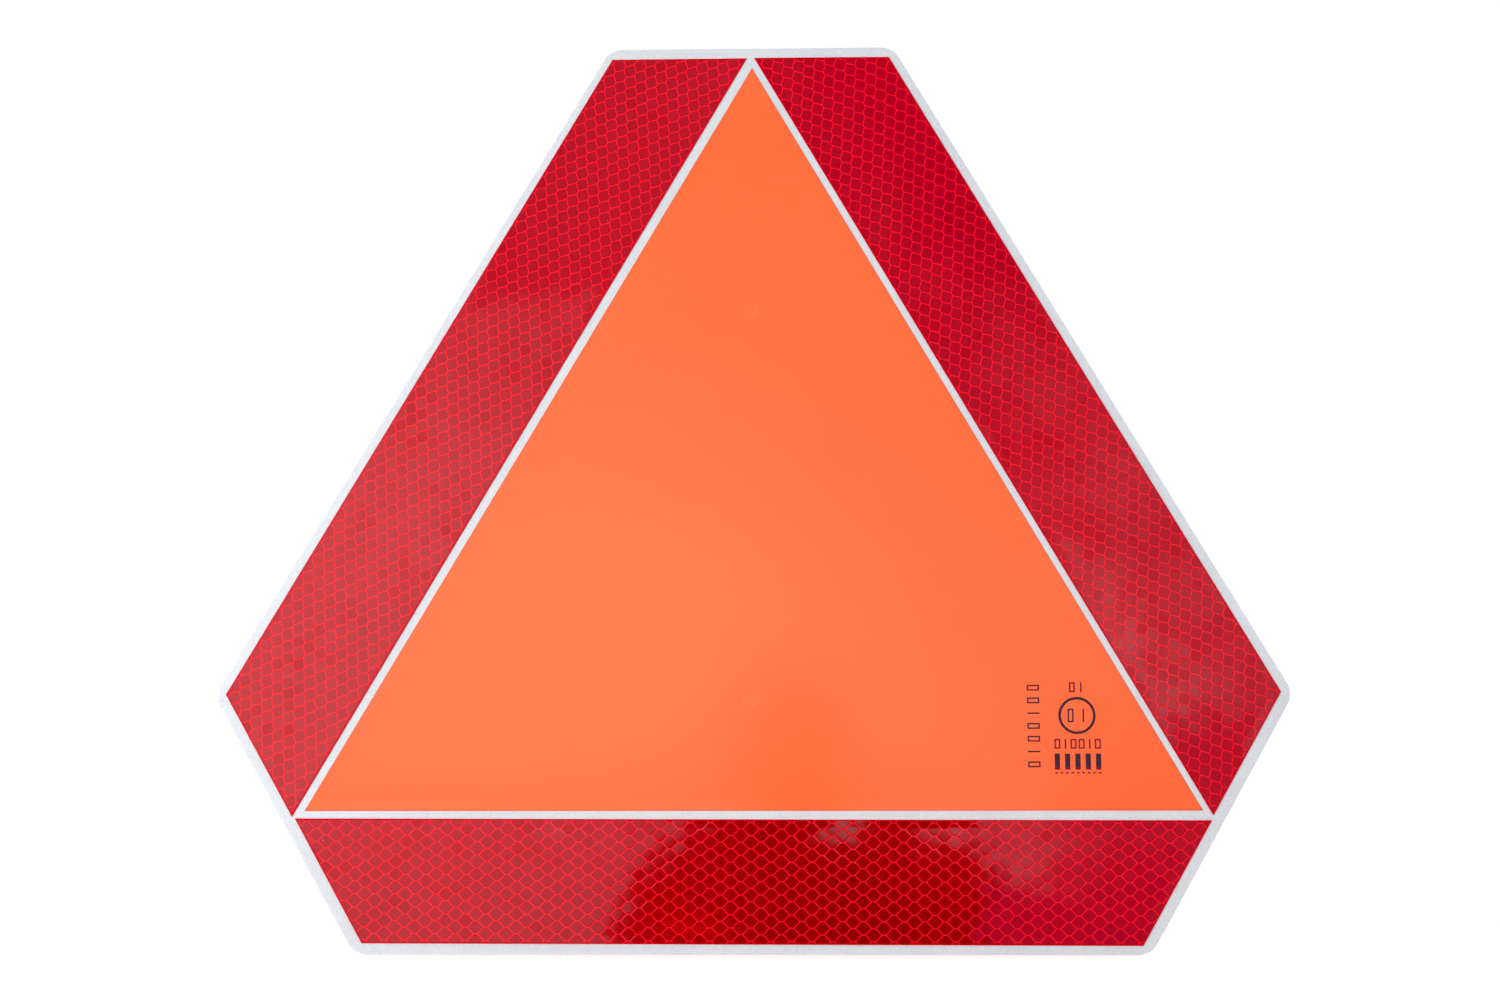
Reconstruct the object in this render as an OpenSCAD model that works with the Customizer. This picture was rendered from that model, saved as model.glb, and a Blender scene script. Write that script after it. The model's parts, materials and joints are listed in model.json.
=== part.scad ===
// Rear marking plate for slow vehicles: an aluminium triangle with its corners cut off,
// faced with an orange panel, three red reflective strips and a small block of printed marks.
// It stands upright: +X is to the right as the front is read, +Z is up, the front looks towards -Y.
// The origin is on the rear face, midway between the two mounting holes.

/* [Plate] */
// Thickness of the aluminium sheet
plate_t = 1.5; // [0.8:0.1:3]
// Bare metal outside the long side of each strip
side_border = 3.6; // [2:0.1:8]
// Bare metal outside the cut-off ends of the strips
end_border = 4.3; // [2:0.1:8]
// Radius of the six corners of the plate
corner_r = 8.3; // [2:0.1:20]

/* [Mounting holes] */
// Diameter of each hole
hole_d = 7; // [4:0.5:12]
// Distance from the lower hole to the upper one
hole_spacing = 156.5; // [60:0.5:170]
// Height of the point midway between the holes over the middle of the orange panel
hole_rise = 21.4; // [-10:0.1:30]

/* [Orange panel] */
// Side of the orange triangle
panel_side = 350; // [320:1:400]
// Thickness of the orange film
panel_t = 0.15; // [0.1:0.05:0.5]

/* [Red strips] */
// Width of each strip
strip_w = 47.9; // [30:0.1:60]
// Bare metal between the orange panel and each strip
seam = 3.2; // [2:0.1:8]
// From each tip of the orange panel out to the line on which the strips are cut off
tip_gap = 4.6; // [3:0.1:12]
// Thickness of the reflective film
strip_t = 0.35; // [0.2:0.05:0.8]

/* [Laying of the films] */
// How far the orange panel lies to the right of its true place
panel_right = 0.25; // [-0.5:0.05:0.5]
// How far the orange panel lies above its true place
panel_up = 0.4; // [-0.5:0.05:0.5]
// How far the left strip lies outwards of its true place
left_out = 0.35; // [-0.5:0.01:0.5]
// How far the left strip lies along its side, clockwise round the plate as the front is read
left_along = -0.45; // [-0.5:0.01:0.5]
// How much the left strip is turned, in degrees
left_turn = 0.14; // [-0.3:0.01:0.3]
// How far the right strip lies outwards of its true place
right_out = -0.07; // [-0.5:0.01:0.5]
// How far the right strip lies along its side, clockwise
right_along = -0.1; // [-0.5:0.01:0.5]
// How much the right strip is turned, in degrees
right_turn = -0.08; // [-0.3:0.01:0.3]
// How far the bottom strip lies outwards of its true place
bottom_out = -0.28; // [-0.5:0.01:0.5]
// How much the bottom strip is turned, in degrees
bottom_turn = -0.14; // [-0.3:0.01:0.3]

/* [Printed marks] */
// Thickness of the ink
ink_t = 0.03; // [0.02:0.01:0.1]
// From the right tip of the orange panel in to the middle of the ring
ring_in = 47.9; // [40:0.1:70]
// From the base of the orange panel up to the middle of the ring
ring_up = 36.9; // [32:0.1:50]
// Outer diameter of the ring
ring_d = 14.5; // [10:0.1:16]
// Width of the ring's line
ring_line = 1; // [0.4:0.05:1.5]
// Width of the line of the small characters
fine_line = 0.55; // [0.3:0.05:0.8]
// Height of the small characters
small_h = 3.8; // [3:0.1:4.5]
// Width of the small characters
small_w = 2.3; // [1.5:0.1:2.8]
// Width of the block of marks under the ring
block_w = 18; // [14:0.1:20]
// Height of the bold bars
bar_h = 6.2; // [4:0.1:7]
// Clear space between one row of marks and the next
row_gap = 1.9; // [1:0.1:2.5]
// Height of the characters in the column beside the ring
column_h = 4.8; // [3:0.1:5.5]
// Clear space between the ring and the column
column_gap = 7.3; // [3:0.1:12]
// Height of the column
column_l = 32.2; // [24:0.1:36]

/* [Hidden] */
$fn = 96;

// Turn from each edge of the plate to the next one
edge_turn = 60;
// Directions in which the bottom, right and left sides of the triangle face
bottom_way = -90;
right_way = bottom_way + 2 * edge_turn;
left_way = right_way + 2 * edge_turn;

// Distances from the middle of the panel to the panel's sides and tips
panel_in = panel_side / (2 * sqrt(3));
panel_tip = panel_side / sqrt(3);
// Distances from there to the strips' inner, outer and end edges
strip_in = panel_in + seam;
strip_out = strip_in + strip_w;
strip_end = panel_tip + tip_gap;
// Distances from there to the plate's long sides and cut-off corners
plate_side = strip_out + side_border;
plate_end = strip_end + end_border;

// Point where the edge at distance a facing way_a meets the edge at distance b facing way_b
function meet(way_a, a, way_b, b) =
    [a * sin(way_b) - b * sin(way_a), b * cos(way_a) - a * cos(way_b)] / sin(way_b - way_a);

function facing(way) = [cos(way), sin(way)];

// Carries an outline drawn round the middle of the panel to its height on the plate,
// and makes it a sheet of thickness t whose back is depth in front of the rear face
module sheet(depth, t)
    rotate([90, 0, 0])
        translate([0, -hole_rise, depth])
            linear_extrude(t)
                children();

// Long sides and cut-off corners in turn, joined by arcs
module plate_outline() {
    edges = [for (i = [0:5]) [bottom_way + edge_turn * i, i % 2 == 0 ? plate_side : plate_end]];
    centres = [for (i = [0:5]) let (a = edges[i], b = edges[(i + 1) % 6])
        meet(a[0], a[1] - corner_r, b[0], b[1] - corner_r)];
    polygon([for (i = [0:5]) for (k = [i, (i + 1) % 6]) centres[i] + corner_r * facing(edges[k][0])]);
    for (c = centres)
        translate(c)
            circle(r = corner_r);
}

module mounting_holes()
    for (side = [-1, 1])
        translate([0, 0, side * hole_spacing / 2])
            rotate([90, 0, 0])
                translate([0, 0, -plate_t])
                    cylinder(d = hole_d, h = 3 * plate_t);

module backing_plate()
    color([0.86, 0.86, 0.88])
        difference() {
            sheet(0, plate_t)
                plate_outline();
            mounting_holes();
        }

module orange_panel()
    color([1, 0.45, 0.27])
        sheet(plate_t, panel_t)
            translate([panel_right, panel_up])
                polygon([for (way = [bottom_way, right_way, left_way]) -panel_tip * facing(way)]);

// Strip along the side that faces way, mitred to the cut-off corners at both ends.
// It lies out and along (clockwise) of its true place, and is turned about its middle
module strip(way, out, along, turn) {
    middle = (strip_in + strip_out) / 2 * facing(way);
    corners = [for (edge = [[strip_in, edge_turn], [strip_out, edge_turn],
                            [strip_out, -edge_turn], [strip_in, -edge_turn]])
        meet(way, edge[0], way + edge[1], strip_end)];
    color([0.75, 0.08, 0.13])
        sheet(plate_t, strip_t)
            translate(out * facing(way) + along * facing(way - 90))
                translate(middle)
                    rotate(turn)
                        translate(-middle)
                            polygon(corners);
}

module left_strip() strip(left_way, left_out, left_along, left_turn);
module right_strip() strip(right_way, right_out, right_along, right_turn);
module bottom_strip() strip(bottom_way, bottom_out, 0, bottom_turn);

// One plain character that stands in for a letter: an open box, or a tick for the second of three
module character(i, w, h)
    if (i % 3 == 1)
        square([fine_line, h], center = true);
    else
        difference() {
            square([w, h], center = true);
            square([w - 2 * fine_line, h - 2 * fine_line], center = true);
        }

// Row of n plain characters, centred, on a total width
module row(n, total, w, h)
    for (i = [0:n - 1])
        translate([(i / (n - 1) - 0.5) * (total - w), 0])
            character(i, w, h);

module ring()
    difference() {
        circle(d = ring_d);
        circle(d = ring_d - 2 * ring_line);
    }

// The marks, drawn round the middle of the ring
module marks_outline() {
    bars = 5;
    bar_w = block_w / (2 * bars - 1);
    dashes = 9;
    dash_w = block_w / (2 * dashes - 1);
    row_y = ring_d / 2 + row_gap + small_h / 2;
    bar_y = -row_y - small_h / 2 - row_gap - bar_h / 2;
    dash_y = bar_y - bar_h / 2 - 0.8 * row_gap;
    column_x = -ring_d / 2 - column_gap - column_h / 2;
    column_y = (row_y + small_h / 2 + bar_y - bar_h / 2) / 2;

    ring();
    row(2, ring_d / 2, small_w, 1.4 * small_h);
    translate([0, row_y])
        row(2, ring_d * 0.4, small_w, small_h);
    translate([0, -row_y])
        row(6, block_w, small_w, small_h);
    for (i = [0:bars - 1])
        translate([2 * i * bar_w - block_w / 2, bar_y - bar_h / 2])
            square([bar_w, bar_h]);
    for (i = [0:dashes - 1])
        translate([2 * i * dash_w - block_w / 2, dash_y])
            square([dash_w, fine_line]);
    translate([column_x, column_y])
        rotate(90)
            row(7, column_l, small_w, column_h);
}

module printed_marks()
    color([0.24, 0.13, 0.2])
        sheet(plate_t + panel_t, ink_t)
            translate([panel_right + panel_side / 2 - ring_in, panel_up + ring_up - panel_in])
                marks_outline();

backing_plate();
orange_panel();
left_strip();
right_strip();
bottom_strip();
printed_marks();
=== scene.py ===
import json
import math

import bmesh
import bpy
import numpy as np
from mathutils import Matrix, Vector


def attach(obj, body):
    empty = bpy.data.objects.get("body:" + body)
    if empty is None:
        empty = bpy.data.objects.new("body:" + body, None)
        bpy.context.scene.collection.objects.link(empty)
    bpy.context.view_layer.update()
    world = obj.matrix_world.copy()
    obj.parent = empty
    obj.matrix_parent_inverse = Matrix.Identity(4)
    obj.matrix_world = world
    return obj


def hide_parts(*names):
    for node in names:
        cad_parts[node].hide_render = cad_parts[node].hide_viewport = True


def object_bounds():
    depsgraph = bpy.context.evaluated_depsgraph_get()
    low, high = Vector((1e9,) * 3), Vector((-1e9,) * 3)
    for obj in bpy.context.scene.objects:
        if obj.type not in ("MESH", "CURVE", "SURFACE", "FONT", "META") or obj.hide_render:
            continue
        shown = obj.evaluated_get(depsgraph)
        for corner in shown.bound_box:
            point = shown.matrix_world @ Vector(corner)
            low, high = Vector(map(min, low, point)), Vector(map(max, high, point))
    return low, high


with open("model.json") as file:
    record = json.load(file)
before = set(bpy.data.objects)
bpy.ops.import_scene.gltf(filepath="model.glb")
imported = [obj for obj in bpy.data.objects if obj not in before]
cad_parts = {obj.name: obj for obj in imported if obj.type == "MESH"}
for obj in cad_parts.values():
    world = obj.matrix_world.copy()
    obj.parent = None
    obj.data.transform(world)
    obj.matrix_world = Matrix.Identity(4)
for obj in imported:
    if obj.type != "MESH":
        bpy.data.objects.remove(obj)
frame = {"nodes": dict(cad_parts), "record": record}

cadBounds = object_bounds()
mm = 0.001
sharpTurn = math.radians(30)    # edges of a film that turn by more than this look sharp


# Small helpers for meshes and nodes

def frontCorners(node):
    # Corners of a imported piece's front face, as (x, z), with the depths of its front and back
    mesh = frame["nodes"][node].data
    points = np.empty(3 * len(mesh.vertices))
    mesh.vertices.foreach_get("co", points)
    points = points.reshape(-1, 3)
    frontY, backY = points[:, 1].min(), points[:, 1].max()
    front = points[points[:, 1] < frontY + 0.01 * mm][:, [0, 2]]
    return np.unique(front.round(6), axis=0), frontY, backY


def lineDistance(points, start, end):
    # Distance of the points from the line through start and end
    way = (end - start) / np.linalg.norm(end - start)
    away = points - start
    return np.abs(away[:, 0] * way[1] - away[:, 1] * way[0])


def closedSheet(name, front, faces, rim, backY):
    # A sheet: the given front, walls from its rim straight back, and one flat face behind.
    # The rim runs anticlockwise as the front is read.
    back = front[rim].copy()
    back[:, 1] = backY
    hind = len(front) + np.arange(len(rim))
    walls = np.stack([rim, hind, np.roll(hind, -1), np.roll(rim, -1)], axis=1)
    mesh = bpy.data.meshes.new(name)
    mesh.from_pydata(np.concatenate([front, back]).tolist(), [],
                     faces.tolist() + walls.tolist() + [hind[::-1].tolist()])
    mesh.polygons.foreach_set("use_smooth", np.ones(len(mesh.polygons), dtype=bool))
    mesh.set_sharp_from_angle(angle=sharpTurn)
    mesh.update()
    piece = bpy.data.objects.new(name, mesh)
    bpy.context.scene.collection.objects.link(piece)
    return piece


def newMaterial(name):
    material = bpy.data.materials.new(name)
    material.use_nodes = True
    material.node_tree.nodes.clear()
    return material, material.node_tree


def place(tree, kind, **settings):
    # A new node, with its settings given by name
    node = tree.nodes.new(kind)
    for key, value in settings.items():
        setattr(node, key, value)
    return node


def feed(tree, socket, value):
    # A socket takes either another node's output or a plain value
    if isinstance(value, bpy.types.NodeSocket):
        tree.links.new(value, socket)
    else:
        socket.default_value = value


def calc(tree, operation, *values):
    node = place(tree, "ShaderNodeMath", operation=operation)
    for socket, value in zip(node.inputs, values):
        feed(tree, socket, value)
    return node.outputs[0]


def ramp(tree, value, low, high, start=0.0, end=1.0, soft=True):
    # Smooth change from start to end as the value goes from low to high
    node = place(tree, "ShaderNodeMapRange",
                 interpolation_type="SMOOTHSTEP" if soft else "LINEAR")
    for socket, entry in zip(node.inputs, (value, low, high, start, end)):
        feed(tree, socket, entry)
    return node.outputs[0]


def blendColour(tree, share, first, second, how="MIX"):
    node = place(tree, "ShaderNodeMix", data_type="RGBA", blend_type=how)
    feed(tree, node.inputs["Factor"], share)
    feed(tree, node.inputs[6], first)
    feed(tree, node.inputs[7], second)
    return node.outputs[2]


def blendValue(tree, share, first, second):
    node = place(tree, "ShaderNodeMix", data_type="FLOAT")
    feed(tree, node.inputs[0], share)
    feed(tree, node.inputs[2], first)
    feed(tree, node.inputs[3], second)
    return node.outputs[0]


def vectorCalc(tree, operation, *values):
    node = place(tree, "ShaderNodeVectorMath", operation=operation)
    for socket, value in zip(node.inputs, values):
        feed(tree, socket, value)
    return node.outputs[0]


def scaled(tree, vector, factor):
    node = place(tree, "ShaderNodeVectorMath", operation="SCALE")
    feed(tree, node.inputs[0], vector)
    feed(tree, node.inputs["Scale"], factor)
    return node.outputs[0]


def split(tree, vector):
    # The three coordinates of a vector
    node = place(tree, "ShaderNodeSeparateXYZ")
    feed(tree, node.inputs[0], vector)
    return node.outputs[0], node.outputs[1], node.outputs[2]


def squareSum(tree, first, second):
    return calc(tree, "ADD", calc(tree, "POWER", first, 2.0), calc(tree, "POWER", second, 2.0))


def pointDistance(tree, x, z, point):
    # Distance from a point that is given as (x, z)
    return calc(tree, "SQRT", squareSum(tree, calc(tree, "SUBTRACT", x, point[0]),
                                        calc(tree, "SUBTRACT", z, point[1])))


def noise(tree, where, scale, detail=2.0, stretch=(1.0, 1.0, 1.0)):
    # Noise about 0.5, with scale in spots per metre
    mapping = place(tree, "ShaderNodeMapping")
    feed(tree, mapping.inputs["Vector"], where)
    mapping.inputs["Scale"].default_value = stretch
    node = place(tree, "ShaderNodeTexNoise")
    node.inputs["Scale"].default_value = scale
    node.inputs["Detail"].default_value = detail
    tree.links.new(mapping.outputs[0], node.inputs["Vector"])
    return node.outputs["Fac"]


def objectPlace(tree):
    return place(tree, "ShaderNodeTexCoord").outputs["Object"]


def shader(tree, colour, **sockets):
    # The Principled shader and the output, with sockets named by their words run together
    node = place(tree, "ShaderNodeBsdfPrincipled")
    names = {entry.name.replace(" ", "").lower(): entry for entry in node.inputs}
    feed(tree, node.inputs["Base Color"], colour)
    for name, value in sockets.items():
        feed(tree, names[name.lower()], value)
    output = place(tree, "ShaderNodeOutputMaterial")
    tree.links.new(node.outputs[0], output.inputs["Surface"])
    return node


def bump(tree, height, depth, strength=1.0, normal=None):
    # Height is 0 to 1, and depth is what 1 stands for in metres
    node = place(tree, "ShaderNodeBump")
    node.inputs["Strength"].default_value = strength
    node.inputs["Distance"].default_value = depth
    feed(tree, node.inputs["Height"], height)
    if normal is not None:
        feed(tree, node.inputs["Normal"], normal)
    return node.outputs[0]


dust = {
    "perMetre": 120.0,          # places for a speck along each axis
    "empty": 0.93,              # share of the places that stay empty
    "fade": (0.035, 0.02),      # radii between which a speck appears, as shares of a place
}


def buildMottle(settings):
    # Shared group: large and small spots of tone, and dust specks, on Object coordinates
    group = bpy.data.node_groups.new("surfaceMottle", "ShaderNodeTree")
    for name, kind, way in (("Vector", "NodeSocketVector", "INPUT"),
                            ("Patch Scale", "NodeSocketFloat", "INPUT"),
                            ("Grain Scale", "NodeSocketFloat", "INPUT"),
                            ("Tone", "NodeSocketFloat", "OUTPUT"),
                            ("Grain", "NodeSocketFloat", "OUTPUT"),
                            ("Speck", "NodeSocketFloat", "OUTPUT")):
        group.interface.new_socket(name=name, in_out=way, socket_type=kind)
    enter = place(group, "NodeGroupInput")
    leave = place(group, "NodeGroupOutput")
    for name, scale, detail in (("Tone", "Patch Scale", 3.0), ("Grain", "Grain Scale", 2.0)):
        node = place(group, "ShaderNodeTexNoise")
        node.inputs["Detail"].default_value = detail
        group.links.new(enter.outputs["Vector"], node.inputs["Vector"])
        group.links.new(enter.outputs[scale], node.inputs["Scale"])
        group.links.new(node.outputs["Fac"], leave.inputs[name])
    cells = place(group, "ShaderNodeTexVoronoi")
    cells.inputs["Scale"].default_value = settings["perMetre"]
    group.links.new(enter.outputs["Vector"], cells.inputs["Vector"])
    pick = place(group, "ShaderNodeSeparateColor")
    group.links.new(cells.outputs["Color"], pick.inputs[0])
    chosen = calc(group, "GREATER_THAN", pick.outputs[0], settings["empty"])
    dot = ramp(group, cells.outputs["Distance"], *settings["fade"])
    group.links.new(calc(group, "MULTIPLY", dot, chosen), leave.inputs["Speck"])
    return group


mottleGroup = buildMottle(dust)


def mottle(tree, where, patchScale, grainScale):
    # The shared group in a material: its tone, its grain and its specks
    node = place(tree, "ShaderNodeGroup", node_tree=mottleGroup)
    feed(tree, node.inputs["Vector"], where)
    node.inputs["Patch Scale"].default_value = patchScale
    node.inputs["Grain Scale"].default_value = grainScale
    return node.outputs["Tone"], node.outputs["Grain"], node.outputs["Speck"]


# Reflective strips: a lattice of seal lines parts the film into long hexagonal cells

redStrip = {
    "names": ("left_strip", "right_strip", "bottom_strip"),
    "gridStep": 0.52 * mm,      # spacing of the grid, both ways
    "cellLength": 7.9,          # from cell to cell along a row, in mm
    "cellWidth": 5.05,          # from a row to the next but one, in mm
    "flat": 1.5,                # flat top and bottom of a cell, in mm
    "lineWidth": 0.42,          # width of the seal lines, in mm
    "tilt": 0.003,              # how far the cells lean at most each way, in radians
    "wave": 0.02 * mm,          # low waves in the whole film
    "cellColour": (0.48, 0.0003, 0.002, 1.0),
    "lineColour": (0.92, 0.005, 0.017, 1.0),
    "edgeColour": (0.6, 0.0, 0.012, 1.0),
    "dustColour": (0.9, 0.55, 0.5, 1.0),
    "metal": 0.4,               # how metallic the cells are
    "roughness": (0.10, 0.16),  # of the cells, from grain to grain
    "faceRoughness": 0.04,      # of the clear face over them
    "dull": 0.3,                # how much gloss the dullest cells lose
    "cutEdge": (0.75, 0.35),    # distances from the rim, in mm, between which the cut edge appears
    "relief": 0.003 * mm,       # how high the cells stand over their seal lines
}


def stripCorners(node):
    # Ends of the inner and outer long edges, in the direction that is clockwise for a reader
    corners, frontY, backY = frontCorners(node)
    spans = np.linalg.norm(corners[:, None] - corners[None], axis=2)
    first, second = np.unravel_index(spans.argmax(), spans.shape)
    inner = corners[[first, second]]
    outer = np.delete(corners, [first, second], axis=0)
    outward = outer.mean(axis=0) - inner.mean(axis=0)
    clockwise = np.array([outward[1], -outward[0]])
    inner = inner[np.argsort(inner @ clockwise)]
    outer = outer[np.argsort(outer @ clockwise)]
    return inner, outer, frontY, backY


def buildStrip(node, settings, number):
    # Straight lines from the mitred start to the mitred end, u along the strip and v outwards,
    # laid as a grid. The front sinks by the waves of the film.
    inner, outer, frontY, backY = stripCorners(node)
    along = inner[1] - inner[0]
    length = np.linalg.norm(along)
    along = along / length
    outward = np.array([-along[1], along[0]])
    width = (outer[0] - inner[0]) @ outward
    columns = int(round(length / settings["gridStep"]))
    rows = int(round(width / settings["gridStep"]))
    s = np.linspace(0, 1, columns + 1)[None, :, None]
    t = np.linspace(0, 1, rows + 1)[:, None, None]
    start = inner[0] + (outer[0] - inner[0]) * t
    end = inner[1] + (outer[1] - inner[1]) * t
    xz = (start + (end - start) * s).reshape(-1, 2)
    middle = (inner.mean(axis=0) + outer.mean(axis=0)) / 2
    u = (xz - middle) @ along / mm
    v = (xz - middle) @ outward / mm

    # Waves, each one's length over two pi in mm, and their fade towards the strip's edges
    wave = settings["wave"] * (np.sin(u / 23 + number) * np.cos(v / 15 + 0.6 * np.sin(u / 41))
                               + 0.6 * np.sin(u / 9.7 + v / 12 + 2 * number))
    edge = np.minimum.reduce([
        (t * width / mm + 0 * s).reshape(-1), ((1 - t) * width / mm + 0 * s).reshape(-1),
        lineDistance(xz, inner[0], outer[0]) / mm, lineDistance(xz, inner[1], outer[1]) / mm])
    sink = (wave - wave.min()) * np.clip(edge / 3, 0, 1)
    front = np.stack([xz[:, 0], frontY + sink, xz[:, 1]], axis=1)

    index = np.arange(len(front)).reshape(rows + 1, columns + 1)
    faces = np.stack([index[:-1, :-1], index[:-1, 1:], index[1:, 1:], index[1:, :-1]],
                     axis=-1).reshape(-1, 4)
    rim = np.concatenate([index[0, :-1], index[:-1, -1], index[-1, :0:-1], index[:0:-1, 0]])
    piece = closedSheet(node.replace("_strip", "_reflective_strip"), front, faces, rim, backY)

    mesh = piece.data
    vertexUv = np.stack([np.concatenate([u, u[rim]]), np.concatenate([v, v[rim]])], axis=1)
    corner = np.empty(len(mesh.loops), dtype=int)
    mesh.loops.foreach_get("vertex_index", corner)
    layer = mesh.uv_layers.new(name="filmPlace")
    layer.uv.foreach_set("vector", vertexUv[corner].astype(np.float32).ravel())
    attribute = mesh.attributes.new("edgeDistance", "FLOAT", "POINT")
    attribute.data.foreach_set("value", np.concatenate([edge, edge[rim]]).astype(np.float32))
    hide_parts(node)
    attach(piece, "root")
    return piece


def cellShape(tree, x, y, settings):
    # Distance inwards from the rim of a cell whose centre is x and y away, negative outside it:
    # the smaller of the distances from its flat sides and from its slanted sides
    halfWidth = settings["cellWidth"] / 2
    tip = (settings["cellLength"] - settings["flat"]) / 2
    run = tip - settings["flat"] / 2
    slope = math.hypot(run, halfWidth)
    flatSide = calc(tree, "SUBTRACT", halfWidth, y)
    fromTip = calc(tree, "MULTIPLY", calc(tree, "SUBTRACT", tip, x), halfWidth / slope)
    slanted = calc(tree, "SUBTRACT", fromTip, calc(tree, "MULTIPLY", y, run / slope))
    return calc(tree, "MINIMUM", flatSide, slanted)


def cellLattice(tree, u, v, settings):
    # Distance inwards from the rim of the nearest cell, and whether that cell is an odd one.
    # The odd cells stand half a length and half a width off the even ones.
    halfLength, halfWidth = settings["cellLength"] / 2, settings["cellWidth"] / 2
    x = calc(tree, "PINGPONG", u, halfLength)
    y = calc(tree, "PINGPONG", v, halfWidth)
    evenCell = cellShape(tree, x, y, settings)
    oddCell = cellShape(tree, calc(tree, "SUBTRACT", halfLength, x),
                        calc(tree, "SUBTRACT", halfWidth, y), settings)
    inside = calc(tree, "MAXIMUM", evenCell, oddCell)
    return inside, calc(tree, "GREATER_THAN", oddCell, evenCell)


def cellDraw(tree, u, v, isOdd, settings):
    # A random value and colour for each cell, from the whole numbers of its row and its place
    # in the row
    identity = place(tree, "ShaderNodeCombineXYZ")
    shift = calc(tree, "MULTIPLY", isOdd, 0.5)
    for socket, source, step in ((0, u, settings["cellLength"]), (1, v, settings["cellWidth"])):
        count = calc(tree, "SUBTRACT", calc(tree, "DIVIDE", source, step), shift)
        feed(tree, identity.inputs[socket], calc(tree, "ROUND", count))
    feed(tree, identity.inputs[2], isOdd)
    random = place(tree, "ShaderNodeTexWhiteNoise")
    feed(tree, random.inputs[0], identity.outputs[0])
    return random.outputs["Value"], random.outputs["Color"]


def leaningNormal(tree, drawn, tilt):
    # The surface's own normal plus a random vector: the drawn colour less a half, times twice
    # the tilt
    lean = scaled(tree, vectorCalc(tree, "SUBTRACT", drawn, (0.5, 0.5, 0.5)), 2 * tilt)
    normal = place(tree, "ShaderNodeNewGeometry").outputs["Normal"]
    return vectorCalc(tree, "NORMALIZE", vectorCalc(tree, "ADD", normal, lean))


def makeRedFilm(settings):
    # Cells: dark red, partly metallic, under a clear glossy face. Seal lines: brighter red,
    # not metallic, less glossy and a little sunk. Cut edge: plain red and dull. Each cell
    # differs a little in tone and in the way it leans, and in patches of the film some cells
    # are less glossy than their neighbours.
    material, tree = newMaterial("redReflectiveFilm")
    u, v, _ = split(tree, place(tree, "ShaderNodeUVMap", uv_map="filmPlace").outputs[0])
    where = objectPlace(tree)
    inside, isOdd = cellLattice(tree, u, v, settings)
    # Half the width of a seal line wanders by a few hundredths of a millimetre
    wander = noise(tree, where, 900.0, 1.0)
    half = calc(tree, "ADD", calc(tree, "MULTIPLY", wander, 0.1), settings["lineWidth"] / 2 - 0.05)
    line = ramp(tree, calc(tree, "SUBTRACT", inside, half), 0.09, -0.05)
    edge = place(tree, "ShaderNodeAttribute", attribute_name="edgeDistance").outputs["Fac"]
    rim = ramp(tree, edge, *settings["cutEdge"], 0.0, 0.95)

    # Colour: the cell's tone, spots and grain, then the seal lines, the cut edge and dust
    drawnValue, drawnColour = cellDraw(tree, u, v, isOdd, settings)
    tone, grain, speck = mottle(tree, where, 14.0, 1500.0)
    level = calc(tree, "ADD", ramp(tree, drawnValue, 0, 1, 0.93, 1.05, False),
                 ramp(tree, tone, 0.3, 0.7, -0.06, 0.06, False))
    level = calc(tree, "ADD", level, ramp(tree, grain, 0.3, 0.7, -0.05, 0.05, False))
    colour = blendColour(tree, 1.0, settings["cellColour"], level, "MULTIPLY")
    colour = blendColour(tree, line, colour, settings["lineColour"])
    colour = blendColour(tree, rim, colour, settings["edgeColour"])
    colour = blendColour(tree, calc(tree, "MULTIPLY", speck, 0.5), colour,
                         settings["dustColour"])

    # Gloss: whole on the cells, less on the lines and on the dull cells of a patch
    bare = calc(tree, "SUBTRACT", 1.0, calc(tree, "MAXIMUM", line, rim))
    metal = calc(tree, "MULTIPLY", bare, settings["metal"])
    shade = calc(tree, "FRACT", calc(tree, "MULTIPLY", drawnValue, 7.0))
    patch = ramp(tree, noise(tree, where, 40.0, 2.0), 0.42, 0.66, 0.15, 1.0)
    dull = calc(tree, "MULTIPLY", ramp(tree, shade, 0.35, 1.0, 0.0, settings["dull"]), patch)
    dull = calc(tree, "MULTIPLY", dull, bare)
    gloss = calc(tree, "SUBTRACT", calc(tree, "SUBTRACT", 1.0, calc(tree, "MULTIPLY", line, 0.4)),
                 dull)
    gloss = calc(tree, "MULTIPLY", gloss, calc(tree, "SUBTRACT", 1.0, rim))

    # Relief: domed cells with a fine grain, on a normal that leans with the cell
    height = calc(tree, "ADD", ramp(tree, inside, 0.0, 0.5),
                  calc(tree, "MULTIPLY", noise(tree, where, 700.0, 2.0), 0.25))
    normal = bump(tree, height, settings["relief"],
                  normal=leaningNormal(tree, drawnColour, settings["tilt"]))
    rough = ramp(tree, grain, 0.3, 0.7, *settings["roughness"])
    shader(tree, colour, metallic=metal, roughness=rough, normal=normal, specularIorLevel=0.0,
           coatWeight=gloss, coatRoughness=settings["faceRoughness"], coatNormal=normal)
    return material


redFilm = makeRedFilm(redStrip)
strips = []
for number, node in enumerate(redStrip["names"]):
    strip = buildStrip(node, redStrip, number)
    strip.data.materials.append(redFilm)
    strips.append(strip)
print("reflective strips:", sum(len(strip.data.polygons) for strip in strips), "faces")


# Orange panel: a smooth film that dips a little over the two mounting holes

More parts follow.
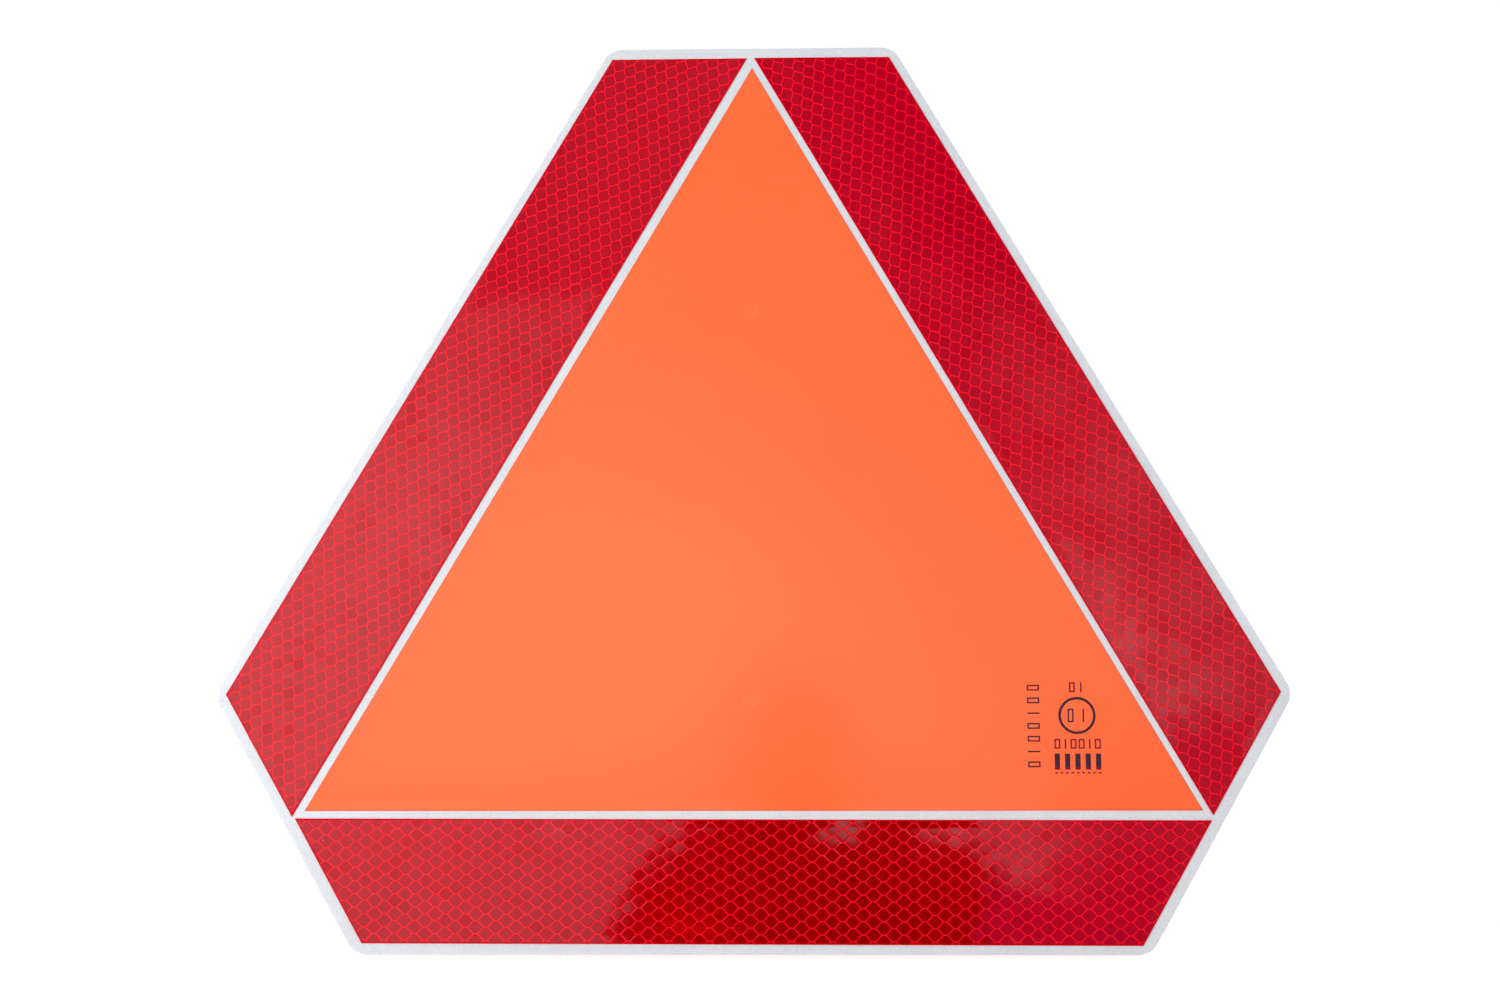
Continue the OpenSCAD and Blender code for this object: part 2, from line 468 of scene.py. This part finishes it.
orangePanel = {
    "parts": 300,               # how many parts each side is cut into
    "dip": 0.035 * mm,          # how far the film sinks over a hole
    "wave": 0.02 * mm,          # low waves in the film
    "colour": (1.0, 0.153, 0.041, 1.0),
    "deepColour": (1.0, 0.144, 0.037, 1.0),
    "edgeColour": (0.62, 0.05, 0.03, 1.0),
    "grainColour": (1.0, 0.19, 0.07, 1.0),
    "dustColour": (1.0, 0.5, 0.38, 1.0),
    "discColour": (1.0, 0.23, 0.09, 1.0),       # of the paler patch over each hole
    "roughness": (0.1, 0.14),   # from spot to spot
    "shine": 0.25,              # strength of its mirror image
    # painted glow: an emission that stands in for the film's fluorescence and shines with no light
    # falling on it
    "glow": 0.08,               # light that the fluorescent film adds of its own
    "nick": (-5.5 * mm, -0.8 * mm),     # tiny raised spot, from the middle of the lower hole
    "relief": 0.008 * mm,       # how deep the mark of a hole's rim is
}
holes = frame["record"]["mounts"][0]
holeRadius = holes["dims"]["hole_r_mm"] * mm
holeHeights = [side * holes["dims"]["spacing_y_mm"] * mm / 2 for side in (-1, 1)]


def buildOrangePanel(settings):
    # Points of a triangle by two whole numbers i and j with i + j up to the number of parts:
    # corner a, plus i parts towards corner b, plus j parts towards corner c
    corners, frontY, backY = frontCorners("orange_panel")
    middle = corners.mean(axis=0)
    turn = np.arctan2(*(corners - middle).T[::-1])
    a, b, c = corners[np.argsort(turn)]
    parts = settings["parts"]
    i, j = np.meshgrid(np.arange(parts + 1), np.arange(parts + 1), indexing="ij")
    kept = i + j <= parts
    index = np.full(i.shape, -1)
    index[kept] = np.arange(kept.sum())
    xz = a + (i[kept, None] * (b - a) + j[kept, None] * (c - a)) / parts

    # Dips over the holes, and waves that fade towards the panel's edges
    dip = np.zeros(len(xz))
    for height in holeHeights:
        away = np.hypot(xz[:, 0], xz[:, 1] - height) / holeRadius
        dip += settings["dip"] * np.clip(1.15 - away ** 2, 0, 1)
    x, z = (xz / mm).T
    wave = settings["wave"] * (np.sin(x / 31 + 0.7) * np.sin(z / 27) + np.sin(x / 17 - z / 43))
    edge = np.minimum.reduce([lineDistance(xz, a, b), lineDistance(xz, b, c),
                              lineDistance(xz, c, a)]) / mm
    sink = dip + (wave - wave.min()) * np.clip(edge / 4, 0, 1)
    front = np.stack([xz[:, 0], frontY + sink, xz[:, 1]], axis=1)

    up = index[:-1, :-1], index[1:, :-1], index[:-1, 1:]
    down = index[1:, :-1], index[1:, 1:], index[:-1, 1:]
    whole, half = (i + j)[:-1, :-1] < parts, (i + j)[:-1, :-1] < parts - 1
    faces = np.concatenate([np.stack([p[whole] for p in up], axis=1),
                            np.stack([p[half] for p in down], axis=1)])
    steps = np.arange(parts)
    rim = np.concatenate([index[steps, 0], index[parts - steps, steps], index[0, parts - steps]])
    piece = closedSheet("orange_film_panel", front, faces, rim, backY)
    attribute = piece.data.attributes.new("edgeDistance", "FLOAT", "POINT")
    attribute.data.foreach_set("value", np.concatenate([edge, edge[rim]]).astype(np.float32))
    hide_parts("orange_panel")
    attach(piece, "root")
    return piece


def holeMarks(tree, x, z):
    # Over each hole: a line round its rim and a disc inside it
    rims = None
    discs = None
    for height in holeHeights:
        radius = pointDistance(tree, x, z, (0.0, height))
        ring = ramp(tree, calc(tree, "ABSOLUTE", calc(tree, "SUBTRACT", radius, holeRadius)),
                    0.6 * mm, 0.0)
        disc = ramp(tree, radius, holeRadius + 0.3 * mm, holeRadius - 0.3 * mm)
        rims = ring if rims is None else calc(tree, "ADD", rims, ring)
        discs = disc if discs is None else calc(tree, "ADD", discs, disc)
    return rims, discs


def makeOrangeFilm(settings):
    # Bright orange, faintly mottled, softly glossy, with a fine peel in the surface, the sunk
    # mark of each hole's rim, an uneven paler patch over each hole, one raised spot, a deeper
    # cut edge and a painted glow: an emission that stands in for the film's fluorescence
    material, tree = newMaterial("orangeFilm")
    where = objectPlace(tree)
    x, _, z = split(tree, where)
    tone, grain, speck = mottle(tree, where, 9.0, 1800.0)
    rims, discs = holeMarks(tree, x, z)
    colour = blendColour(tree, ramp(tree, tone, 0.3, 0.7), settings["deepColour"],
                         settings["colour"])
    colour = blendColour(tree, ramp(tree, grain, 0.45, 0.75, 0.0, 0.12), colour,
                         settings["grainColour"])
    edge = place(tree, "ShaderNodeAttribute", attribute_name="edgeDistance").outputs["Fac"]
    colour = blendColour(tree, ramp(tree, edge, 0.5, 0.1, 0.0, 0.55), colour,
                         settings["edgeColour"])
    colour = blendColour(tree, calc(tree, "MULTIPLY", speck, 0.35), colour,
                         settings["dustColour"])
    uneven = ramp(tree, noise(tree, where, 260.0, 2.0), 0.38, 0.66, 0.08, 0.22)
    colour = blendColour(tree, calc(tree, "MULTIPLY", discs, uneven), colour,
                         settings["discColour"])

    # Height: grain, less the rims, plus the raised spot
    away, above = settings["nick"]
    nick = ramp(tree, pointDistance(tree, x, z, (away, holeHeights[0] + above)), 0.9 * mm, 0.0)
    height = calc(tree, "SUBTRACT", calc(tree, "MULTIPLY", grain, 0.3), rims)
    height = calc(tree, "ADD", height, calc(tree, "MULTIPLY", nick, 9.0))
    # The emission is a painted glow that stands in for the film's fluorescence
    shader(tree, colour, roughness=ramp(tree, tone, 0.3, 0.7, *settings["roughness"]),
           normal=bump(tree, height, settings["relief"]), specularIorLevel=settings["shine"],
           emissionColor=colour, emissionStrength=settings["glow"])
    return material


panel = buildOrangePanel(orangePanel)
panel.data.materials.append(makeOrangeFilm(orangePanel))
print("orange panel:", len(panel.data.polygons), "faces")


# Plate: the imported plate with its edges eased, in bare metal

plate = {
    "ease": 0.22 * mm,          # how far the edges are rounded
    "easeSteps": 3,             # how many facets round them
    "easeTurn": math.radians(40),       # edges that turn by more than this are rounded
    "colour": (0.78, 0.838, 0.869, 1.0),
    "dullColour": (0.706, 0.752, 0.786, 1.0),
    # painted shade: the metal is darker towards its top, standing in for light that falls from low
    # down
    "topTone": 0.88,            # brightness at the plate's top, where it is 1 at the foot
    "lineColour": (0.55, 0.56, 0.585, 1.0),
    "dustColour": (0.4, 0.4, 0.42, 1.0),
    "frontMetal": 0.08,         # how metallic the satin front is
    "backMetal": 0.6,           # how metallic the bare rolled back is
    "roughness": (0.5, 0.62),   # of the front, from line to line
    "backGloss": 0.14,          # how much less rough the back is
    "relief": 0.012 * mm,       # height of the grain and the rolling lines
}


def buildPlate(settings):
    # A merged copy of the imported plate, whose sharp edges a bevel rounds
    mesh = frame["nodes"]["backing_plate"].data.copy()
    mesh.name = "eased_plate"
    work = bmesh.new()
    work.from_mesh(mesh)
    bmesh.ops.remove_doubles(work, verts=work.verts, dist=0.001 * mm)
    bmesh.ops.dissolve_limit(work, angle_limit=math.radians(0.5), verts=work.verts,
                             edges=work.edges)
    work.to_mesh(mesh)
    work.free()
    mesh.materials.clear()
    piece = bpy.data.objects.new("eased_plate", mesh)
    bpy.context.scene.collection.objects.link(piece)
    bevel = piece.modifiers.new("easedEdges", "BEVEL")
    bevel.width = settings["ease"]
    bevel.segments = settings["easeSteps"]
    bevel.limit_method = "ANGLE"
    bevel.angle_limit = settings["easeTurn"]
    bevel.harden_normals = True
    mesh.polygons.foreach_set("use_smooth", np.ones(len(mesh.polygons), dtype=bool))
    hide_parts("backing_plate")
    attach(piece, "root")
    return piece


def makeAluminium(settings):
    # Rolled sheet: fine pale grain and faint blotches, and painted shade that darkens it towards
    # the top as light from low down would, with rolling lines along X that are plain on the bare
    # back and faint under the satin front
    material, tree = newMaterial("satinAluminium")
    where = objectPlace(tree)
    _, y, z = split(tree, where)
    bare = ramp(tree, y, -1.0 * mm, -0.3 * mm)
    tone, grain, speck = mottle(tree, where, 45.0, 1700.0)
    lines = noise(tree, where, 60.0, 4.0, stretch=(0.25, 1.0, 30.0))
    blotch = calc(tree, "ADD", calc(tree, "MULTIPLY", tone, 0.3),
                  calc(tree, "MULTIPLY", grain, 0.7))
    colour = blendColour(tree, ramp(tree, blotch, 0.38, 0.62), settings["dullColour"],
                         settings["colour"])
    streak = calc(tree, "MULTIPLY", ramp(tree, lines, 0.45, 0.72),
                  ramp(tree, bare, 0, 1, 0.12, 0.6))
    colour = blendColour(tree, streak, colour, settings["lineColour"])
    # Painted shade: the colour is multiplied down towards the plate's top, standing in for light
    # from low down
    fade = ramp(tree, z, cadBounds[0][2], cadBounds[1][2], 1.0, settings["topTone"], False)
    colour = blendColour(tree, 1.0, colour, fade, "MULTIPLY")
    colour = blendColour(tree, calc(tree, "MULTIPLY", speck, 0.4), colour,
                         settings["dustColour"])
    metal = ramp(tree, bare, 0, 1, settings["frontMetal"], settings["backMetal"])
    rough = calc(tree, "SUBTRACT", ramp(tree, lines, 0.3, 0.7, *settings["roughness"]),
                 calc(tree, "MULTIPLY", bare, settings["backGloss"]))
    height = calc(tree, "ADD", calc(tree, "MULTIPLY", lines, 0.6),
                  calc(tree, "MULTIPLY", grain, 0.4))
    shader(tree, colour, metallic=metal, roughness=rough,
           normal=bump(tree, height, settings["relief"]))
    return material


easedPlate = buildPlate(plate)
easedPlate.data.materials.append(makeAluminium(plate))
print("plate:", len(easedPlate.data.polygons), "faces before its edges are eased")


# Print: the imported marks, in dark ink

ink = {
    "colour": (0.032, 0.012, 0.026, 1.0),
    "thinColour": (0.2, 0.0, 0.025, 1.0),
    "thinRows": (-74.1 * mm, -96.2 * mm, -107.5 * mm),      # heights of the thinly printed rows
    "rowReach": 2.6 * mm,       # how far a thin row reaches above and below its height
    "roughness": (0.38, 0.55),
    "shine": 0.3,
    "relief": 0.006 * mm,
}


def makeInk(settings):
    # Dark print that lets a little of the film through where it is uneven, and more so in the
    # thinly printed rows
    material, tree = newMaterial("darkPrint")
    where = objectPlace(tree)
    _, _, z = split(tree, where)
    tone, grain, _ = mottle(tree, where, 400.0, 2600.0)
    thin = ramp(tree, calc(tree, "ADD", calc(tree, "MULTIPLY", tone, 0.5),
                           calc(tree, "MULTIPLY", grain, 0.5)), 0.5, 0.75, 0.0, 0.3)
    reach = settings["rowReach"]
    for height in settings["thinRows"]:
        away = calc(tree, "ABSOLUTE", calc(tree, "SUBTRACT", z, height))
        thin = calc(tree, "MAXIMUM", thin, ramp(tree, away, reach, reach - 0.4 * mm, 0.0, 0.8))
    colour = blendColour(tree, thin, settings["colour"], settings["thinColour"])
    shader(tree, colour, roughness=ramp(tree, grain, 0.3, 0.7, *settings["roughness"]),
           specularIorLevel=settings["shine"], normal=bump(tree, grain, settings["relief"]))
    return material


marks = frame["nodes"]["printed_marks"].data
marks.materials.clear()
marks.materials.append(makeInk(ink))
print("print: dark ink")


# Studio: white floor and world, one pale card seen only in reflections, three soft lamps

studio = {
    "worldLight": 0.55,         # how much the world lights the object, where 1 looks white
    # name, place, size and power of each lamp
    "lamps": (("keyLamp", (-1.0, -1.0, -0.02), 0.3, 11.8),
              ("fillLamp", (1.9, -2.0, 0.9), 1.6, 5.0),
              ("backLamp", (1.3, 1.8, 0.9), 1.4, 14.0)),
    "floorSize": 8.0,
    "floorColour": (0.86, 0.86, 0.86, 1.0),
    "floorLift": 0.52,          # light of its own that the floor shows the camera
}


def seenRay(tree):
    # 1 for rays that see the background: from the camera, by a mirror or through glass
    path = place(tree, "ShaderNodeLightPath")
    seen = calc(tree, "MAXIMUM", path.outputs["Is Camera Ray"], path.outputs["Is Glossy Ray"])
    return calc(tree, "MAXIMUM", seen, path.outputs["Is Transmission Ray"])


def buildWorld(settings):
    world = bpy.data.worlds.new("whiteStudio")
    bpy.context.scene.world = world
    world.use_nodes = True
    tree = world.node_tree
    tree.nodes.clear()
    background = place(tree, "ShaderNodeBackground")
    background.inputs["Color"].default_value = (1.0, 1.0, 1.0, 1.0)
    feed(tree, background.inputs["Strength"],
         ramp(tree, seenRay(tree), 0, 1, settings["worldLight"], 1.0, False))
    output = place(tree, "ShaderNodeOutputWorld")
    tree.links.new(background.outputs[0], output.inputs["Surface"])


def stagePlane(name, corners, material):
    # A flat piece of the studio, which is no part of the object
    mesh = bpy.data.meshes.new(name)
    mesh.from_pydata([tuple(corner) for corner in corners], [], [(0, 1, 2, 3)])
    mesh.materials.append(material)
    plane = bpy.data.objects.new(name, mesh)
    bpy.context.scene.collection.objects.link(plane)
    return plane


def buildFloor(settings):
    # White floor at the plate's lower edge: it keeps the shadow, and what the camera sees
    # of it is lifted to white where no shadow lies
    material, tree = newMaterial("whiteFloor")
    lift = calc(tree, "MULTIPLY", seenRay(tree), settings["floorLift"])
    shader(tree, settings["floorColour"], roughness=0.9, specularIorLevel=0.0,
           emissionColor=(1.0, 1.0, 1.0, 1.0), emissionStrength=lift)
    half = settings["floorSize"] / 2
    height = cadBounds[0][2]
    floor = stagePlane("floor", [(-half, -half, height), (half, -half, height),
                                 (half, half, height), (-half, half, height)], material)
    floor.visible_glossy = False    # the gloss sees the card and the white world instead


# Card: the room in front of the plate, as its gloss mirrors it

card = {
    "y": -1.7,                  # the plate looks towards -Y
    "low": (-0.95, -0.8),       # corners, as (x, z)
    "high": (0.85, 1.2),
    "tint": (0.72, 0.0, 0.33),  # how the dimmest part looks
    "milk": (0.3, 1.0, 0.9),    # what the light adds to it
    "ragged": 0.045,            # how far the shapes' edges wander
    "sideSlope": 0.577,         # run over rise of the panel's slanting sides
    "leftSide": (0.52, 0.47),   # where the left strip's part goes over into the panel's
    "rightSide": (0.4, 0.425),  # where the panel's part goes over into the right strip's
    "levelLine": (0.515, 0.545),        # heights between which the left part turns dark
    "footTop": (-0.041, -0.053),        # heights between which the foot begins
    "skirtTip": 0.125,          # height of the dark skirt's tip
    "skirtFlare": 0.14,         # depth under the tip at which its sides begin to run outwards
    "skirtHalf": 0.048,         # half its width close under the tip
    "skirtRight": 0.207,        # how far it runs to the right at most
    "skirtEdge": 0.006,         # half the width of its soft edge
    "slit": ((0.05, -0.066), (0.03, 0.01)),     # middle and half widths of the slit of light
    "slitLight": 1.5,           # how bright it is
    "glint": ((-0.11, -0.196), (0.06, 0.03)),   # middle and half widths of the red glint
    "glintColour": (2.0, 0.0, 0.05, 1.0),
    "whiteRim": 0.2,            # width of the rim that turns white
}


def inEllipse(tree, x, z, middle, reach):
    # 1 inside an ellipse about middle with half widths reach, 0 outside
    across = calc(tree, "DIVIDE", calc(tree, "SUBTRACT", x, middle[0]), reach[0])
    up = calc(tree, "DIVIDE", calc(tree, "SUBTRACT", z, middle[1]), reach[1])
    return ramp(tree, squareSum(tree, across, up), 1.1, 0.6)


def panelLight(tree, x, z, blotch, settings):
    # What the left strip, the orange panel and the right strip mirror. The panel's slanting
    # sides are seen along lines on which the height times their slope plus x, which is called
    # rightward, or minus x, which is called leftward, stays the same.
    climb = calc(tree, "MULTIPLY", z, settings["sideSlope"])
    rightward = calc(tree, "ADD", climb, x)
    leftward = calc(tree, "SUBTRACT", climb, x)

    # Left: brighter downwards along the strip, and nearly dark above the level line
    alongLeft = calc(tree, "ADD", z, calc(tree, "MULTIPLY", x, settings["sideSlope"]))
    left = blendValue(tree, ramp(tree, z, *settings["levelLine"]),
                      ramp(tree, alongLeft, 0.38, 0.0, 0.65, 1.5), 0.24)

    # Middle: brightest low down, and dimmer to the right
    middle = calc(tree, "MULTIPLY", ramp(tree, z, 0.75, 0.1, 0.0, 2.6),
                  ramp(tree, z, 0.03, -0.04, 1.0, 0.6))
    middle = calc(tree, "MULTIPLY", middle, ramp(tree, rightward, 0.05, 0.42, 1.0, 0.2, False))

    # Right: its inner edge lights up low down, its outer edge higher up but less
    right = blendValue(tree, ramp(tree, rightward, 0.43, 0.55),
                       ramp(tree, z, 0.38, 0.12, 0.1, 1.15), ramp(tree, z, 0.62, 0.3, 0.0, 0.5))
    right = calc(tree, "MULTIPLY", right, blotch)
    light = blendValue(tree, ramp(tree, leftward, *settings["leftSide"]), left, middle)
    return blendValue(tree, ramp(tree, rightward, *settings["rightSide"]), light, right)


def footLight(tree, x, z, light, blotch, settings):
    # What the bottom strip mirrors: dimmer to the right, and blotchy past the middle. It is
    # nearly dark in the right corner, under a slanting line and at the far right.
    foot = ramp(tree, x, -0.55, -0.1, 1.05, 0.72)
    foot = blendValue(tree, ramp(tree, x, 0.05, 0.12), foot, calc(tree, "MULTIPLY", blotch, 0.9))
    light = blendValue(tree, ramp(tree, z, *settings["footTop"]), light, foot)
    slope = calc(tree, "ADD", x, calc(tree, "MULTIPLY", z, 2.13))
    under = calc(tree, "MAXIMUM", ramp(tree, slope, 0.0, -0.055), ramp(tree, z, -0.09, -0.14))
    under = calc(tree, "MULTIPLY", under, ramp(tree, x, 0.0, 0.05))
    farRight = calc(tree, "MULTIPLY", ramp(tree, z, 0.07, 0.045), ramp(tree, x, 0.2, 0.36))
    return blendValue(tree, calc(tree, "MAXIMUM", farRight, under), light,
                      ramp(tree, z, -0.07, -0.13, 0.18, 0.05))


def skirtShape(tree, x, z, settings):
    # 1 inside a skirt that hangs from a tip in the middle. Its trunk widens slowly with the
    # depth under the tip, and past the flare each side runs outwards faster.
    depth = calc(tree, "MAXIMUM", calc(tree, "SUBTRACT", settings["skirtTip"], z), 0.0)
    past = calc(tree, "MAXIMUM", calc(tree, "SUBTRACT", depth, settings["skirtFlare"]), 0.0)
    trunk = calc(tree, "ADD", calc(tree, "MULTIPLY", depth, 0.1),
                 ramp(tree, depth, 0.0, 0.06, 0.0, settings["skirtHalf"]))
    leftPast = calc(tree, "MINIMUM", past,
                    calc(tree, "ADD", calc(tree, "MULTIPLY", past, 0.37), 0.06))
    leftReach = calc(tree, "ADD", trunk, leftPast)
    rightReach = calc(tree, "ADD", trunk, calc(tree, "MULTIPLY", past, 1.8))
    rightReach = calc(tree, "MINIMUM", rightReach, settings["skirtRight"])
    inward = calc(tree, "MINIMUM", calc(tree, "ADD", leftReach, x),
                  calc(tree, "SUBTRACT", rightReach, x))
    soft = settings["skirtEdge"]
    return calc(tree, "MULTIPLY", ramp(tree, inward, -soft, soft),
                calc(tree, "GREATER_THAN", depth, 0.0))


def rimDistance(tree, x, z, settings):
    # Distance inwards from the nearest edge of the card
    nearest = None
    for axis, low, high in ((x, settings["low"][0], settings["high"][0]),
                            (z, settings["low"][1], settings["high"][1])):
        for wall, inwards in ((low, 1.0), (high, -1.0)):
            away = calc(tree, "MULTIPLY", calc(tree, "SUBTRACT", axis, wall), inwards)
            nearest = away if nearest is None else calc(tree, "MINIMUM", nearest, away)
    return nearest


def makeCardLight(settings):
    # The tint plus the light times the milk. The skirt turns it black but for a slit of light
    # at its right, a red glint shows low at its left, and towards the rim the card becomes as
    # white as the world round it.
    material, tree = newMaterial("cardLight")
    where = objectPlace(tree)
    trueX, _, trueZ = split(tree, where)
    ragged = calc(tree, "MULTIPLY", calc(tree, "SUBTRACT", noise(tree, where, 26.0, 3.0), 0.5),
                  settings["ragged"])
    x = calc(tree, "ADD", trueX, ragged)
    z = calc(tree, "ADD", trueZ, ragged)
    blotch = ramp(tree, noise(tree, where, 24.0, 3.0), 0.35, 0.65, 0.62, 1.4)
    light = panelLight(tree, x, z, blotch, settings)
    light = footLight(tree, x, z, light, blotch, settings)
    slit = inEllipse(tree, x, z, *settings["slit"])
    light = blendValue(tree, slit, light, settings["slitLight"])
    shown = vectorCalc(tree, "ADD", scaled(tree, settings["milk"], light), settings["tint"])
    skirt = calc(tree, "MULTIPLY", skirtShape(tree, x, z, settings),
                 calc(tree, "SUBTRACT", 1.0, slit))
    shown = blendColour(tree, skirt, shown, (0.0, 0.0, 0.0, 1.0))
    glint = inEllipse(tree, x, z, *settings["glint"])
    shown = blendColour(tree, glint, shown, settings["glintColour"])
    rim = ramp(tree, rimDistance(tree, trueX, trueZ, settings), settings["whiteRim"], 0.0)
    shown = blendColour(tree, rim, shown, (1.0, 1.0, 1.0, 1.0))
    emission = place(tree, "ShaderNodeEmission")
    feed(tree, emission.inputs["Color"], shown)
    output = place(tree, "ShaderNodeOutputMaterial")
    tree.links.new(emission.outputs[0], output.inputs["Surface"])
    return material


def buildCard(settings):
    # Only glossy rays see the card
    (lowX, lowZ), (highX, highZ), y = settings["low"], settings["high"], settings["y"]
    plane = stagePlane("studio_card", [(highX, y, lowZ), (lowX, y, lowZ),
                                       (lowX, y, highZ), (highX, y, highZ)],
                       makeCardLight(settings))
    plane.visible_camera = False
    plane.visible_diffuse = False
    plane.visible_shadow = False
    plane.visible_transmission = False


def buildLamps(settings):
    # Each lamp faces the middle of the plate, and no gloss shows it
    for name, spot, size, power in settings["lamps"]:
        lamp = bpy.data.lights.new(name, "AREA")
        lamp.shape = "SQUARE"
        lamp.size = size
        lamp.energy = power
        holder = bpy.data.objects.new(name, lamp)
        holder.location = spot
        holder.rotation_euler = (-holder.location).to_track_quat("-Z", "Y").to_euler()
        holder.visible_camera = False
        holder.visible_glossy = False
        bpy.context.scene.collection.objects.link(holder)


buildWorld(studio)
buildFloor(studio)
buildCard(card)
buildLamps(studio)
print("studio: world, floor, card and", len(studio["lamps"]), "lamps")


# Camera at the photograph's place, solved from the plate's straight edges

view = {
    "spot": (0.0258, -0.9454, -0.1658),
    "right": (0.999618, 0.027658, 0.000715),    # direction of the picture's right
    "up": (0.004103, -0.173758, 0.984781),      # direction of its top
    "forward": (-0.027361, 0.984402, 0.173805),
    "lens": 57.79,
    "sensorWidth": 36.0,
    "clipStart": 0.01,
}


def buildCamera(settings):
    camera = bpy.data.cameras.new("photoCamera")
    camera.lens = settings["lens"]
    camera.sensor_width = settings["sensorWidth"]
    camera.sensor_fit = "HORIZONTAL"
    camera.clip_start = settings["clipStart"]
    holder = bpy.data.objects.new("photoCamera", camera)
    backwards = [-entry for entry in settings["forward"]]
    turn = Matrix([settings["right"], settings["up"], backwards]).transposed()
    holder.matrix_world = Matrix.Translation(settings["spot"]) @ turn.to_4x4()
    bpy.context.scene.collection.objects.link(holder)
    bpy.context.scene.camera = holder


buildCamera(view)
bpy.context.scene.view_settings.view_transform = "Standard"
